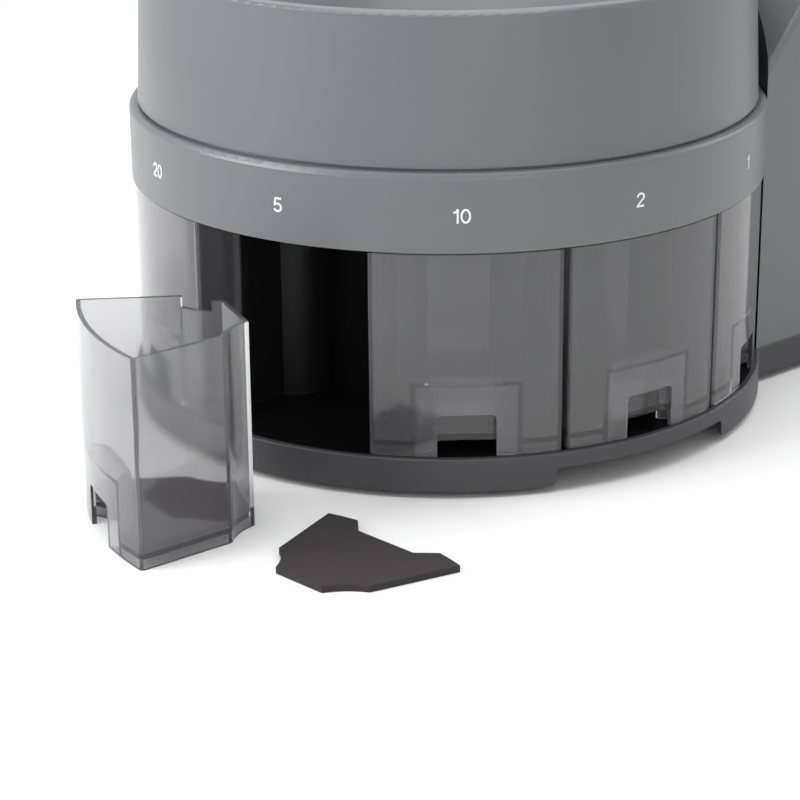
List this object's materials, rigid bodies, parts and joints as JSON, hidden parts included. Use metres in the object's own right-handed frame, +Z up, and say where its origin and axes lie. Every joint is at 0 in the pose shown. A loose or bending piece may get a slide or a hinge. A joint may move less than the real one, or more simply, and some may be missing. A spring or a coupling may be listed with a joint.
{
  "type": "coin sorting machine",
  "caption": "Desk coin sorter: drum with clear pull-out coin cups under a label band, hopper and sorting turntable above, rear console with display, keys and power fittings.",
  "frame": {"origin": "on the drum axis at table level, at the underside of the middle foot", "axes": "+Z up, -Y the front of the cup drum, +Y towards the rear console"},
  "size_m": [0.3137, 0.4532, 0.256],
  "materials": {
    "dark_base": "satin dark grey moulding",
    "grey_case": "satin slate grey moulding",
    "black_core": "satin black moulding",
    "smoke_clear": "clear smoke tinted moulding",
    "foam": "closed cell foam",
    "foot_rubber": "soft rubber",
    "steel": "bright steel",
    "aluminium": "turned",
    "brass": "cut brass",
    "white_gear": "moulded gear",
    "facing_rubber": "ground rubber",
    "board": "circuit board",
    "panel_black": "gloss black",
    "key_grey": "satin key",
    "lens_clear": "clear",
    "display": "display glass"
  },
  "bodies": {
    "machine": {"base_tray": "dark_base", "bay_dividers": "black_core", "bottom_cover": "dark_base", "chute_deck": "black_core", "console_shell": "grey_case", "control_panel": "panel_black", "core_housing": "black_core", "cover_screws": "steel", "display_lens": "lens_clear", "drive_motor": "steel", "exit_sensors": "black_core", "head_posts": "steel", "hopper": "grey_case", "inlet_blades": "brass", "key_board": "board", "key_switches": "black_core", "label_band": "grey_case", "lcd_module": "display", "main_board": "board", "motor_plate": "steel", "power_inlet": "panel_black", "power_supply": "aluminium", "printer_socket": "panel_black", "rocker_frame": "panel_black", "rubber_feet": "foot_rubber", "sorting_head": "steel", "spindle_bearings": "steel"},
    "turntable_body": {"turntable": "aluminium", "turntable_facing": "facing_rubber", "spreader_cone": "grey_case", "spindle": "steel", "drive_gear": "white_gear"},
    "motor_rotor": {"motor_shaft": "steel", "motor_pinion": "brass"},
    "switch_rocker": {"power_rocker": "panel_black"},
    "cup_body_1": {"coin_cup_1": "smoke_clear", "cup_pad_1": "foam"},
    "cup_body_2": {"coin_cup_2": "smoke_clear", "cup_pad_2": "foam"},
    "cup_body_3": {"coin_cup_3": "smoke_clear", "cup_pad_3": "foam"},
    "cup_body_4": {"coin_cup_4": "smoke_clear", "cup_pad_4": "foam"},
    "spare_pad_body": {"spare_pad": "foam"},
    "cup_body_5": {"coin_cup_5": "smoke_clear", "cup_pad_5": "foam"},
    "cup_body_6": {"coin_cup_6": "smoke_clear", "cup_pad_6": "foam"},
    "cup_body_7": {"coin_cup_7": "smoke_clear", "cup_pad_7": "foam"},
    "cup_body_8": {"coin_cup_8": "smoke_clear", "cup_pad_8": "foam"},
    "key_start_body": {"key_start": "key_grey"},
    "key_stop_body": {"key_stop": "key_grey"},
    "key_menu_body": {"key_menu": "key_grey"},
    "key_print_body": {"key_print": "key_grey"},
    "key_up_body": {"key_up": "key_grey"},
    "key_down_body": {"key_down": "key_grey"},
    "key_clear_body": {"key_clear": "key_grey"},
    "key_enter_body": {"key_enter": "key_grey"}
  },
  "joints": [
    {"name": "turntable_spin", "type": "hinge", "parent": "machine", "child": "turntable_body", "pos_m": [0, 0, 0.12], "axis": [0, 0, 1], "continuous": true},
    {"name": "motor_spin", "type": "hinge", "parent": "machine", "child": "motor_rotor", "pos_m": [0, 0.0375, 0.06], "axis": [0, 0, 1], "continuous": true},
    {"name": "cup_1_slide", "type": "slide", "parent": "machine", "child": "cup_body_1", "axis": [0.8746, 0.4848, 0], "range_m": [0, 0.068]},
    {"name": "cup_2_slide", "type": "slide", "parent": "machine", "child": "cup_body_2", "axis": [0.9962, -0.0872, 0], "range_m": [0, 0.068]},
    {"name": "cup_3_slide", "type": "slide", "parent": "machine", "child": "cup_body_3", "axis": [0.7771, -0.6293, 0], "range_m": [0, 0.068]},
    {"name": "cup_4_lift", "type": "slide", "parent": "machine", "child": "cup_body_4", "axis": [0, 0, 1], "range_m": [0, 0.1]},
    {"name": "spare_pad_lift", "type": "slide", "parent": "machine", "child": "spare_pad_body", "axis": [0, 0, 1], "range_m": [0, 0.012]},
    {"name": "cup_5_slide", "type": "slide", "parent": "machine", "child": "cup_body_5", "axis": [-0.2924, -0.9563, 0], "range_m": [0, 0.068]},
    {"name": "cup_6_slide", "type": "slide", "parent": "machine", "child": "cup_body_6", "axis": [-0.7771, -0.6293, 0], "range_m": [0, 0.068]},
    {"name": "cup_7_slide", "type": "slide", "parent": "machine", "child": "cup_body_7", "axis": [-0.9962, -0.0872, 0], "range_m": [0, 0.068]},
    {"name": "cup_8_slide", "type": "slide", "parent": "machine", "child": "cup_body_8", "axis": [-0.8746, 0.4848, 0], "range_m": [0, 0.068]},
    {"name": "key_start_press", "type": "slide", "parent": "machine", "child": "key_start_body", "axis": [0, 0.7431, -0.6691], "range_m": [0, 0.0015], "stiffness_N_per_m": 400, "springref_m": -0.0005},
    {"name": "key_stop_press", "type": "slide", "parent": "machine", "child": "key_stop_body", "axis": [0, 0.7431, -0.6691], "range_m": [0, 0.0015], "stiffness_N_per_m": 400, "springref_m": -0.0005},
    {"name": "key_menu_press", "type": "slide", "parent": "machine", "child": "key_menu_body", "axis": [0, 0.7431, -0.6691], "range_m": [0, 0.0015], "stiffness_N_per_m": 400, "springref_m": -0.0005},
    {"name": "key_print_press", "type": "slide", "parent": "machine", "child": "key_print_body", "axis": [0, 0.7431, -0.6691], "range_m": [0, 0.0015], "stiffness_N_per_m": 400, "springref_m": -0.0005},
    {"name": "key_up_press", "type": "slide", "parent": "machine", "child": "key_up_body", "axis": [0, 0.7431, -0.6691], "range_m": [0, 0.0015], "stiffness_N_per_m": 400, "springref_m": -0.0005},
    {"name": "key_down_press", "type": "slide", "parent": "machine", "child": "key_down_body", "axis": [0, 0.7431, -0.6691], "range_m": [0, 0.0015], "stiffness_N_per_m": 400, "springref_m": -0.0005},
    {"name": "key_clear_press", "type": "slide", "parent": "machine", "child": "key_clear_body", "axis": [0, 0.7431, -0.6691], "range_m": [0, 0.0015], "stiffness_N_per_m": 400, "springref_m": -0.0005},
    {"name": "key_enter_press", "type": "slide", "parent": "machine", "child": "key_enter_body", "axis": [0, 0.7431, -0.6691], "range_m": [0, 0.0015], "stiffness_N_per_m": 400, "springref_m": -0.0005},
    {"name": "power_rocker_tilt", "type": "hinge", "parent": "machine", "child": "switch_rocker", "pos_m": [-0.022, 0.21, 0.0477], "axis": [1, 0, 0], "range_deg": [0, 18]}
  ],
  "couplings": [
    {"joint": "motor_spin", "follows": "turntable_spin", "ratio": -4}
  ]
}
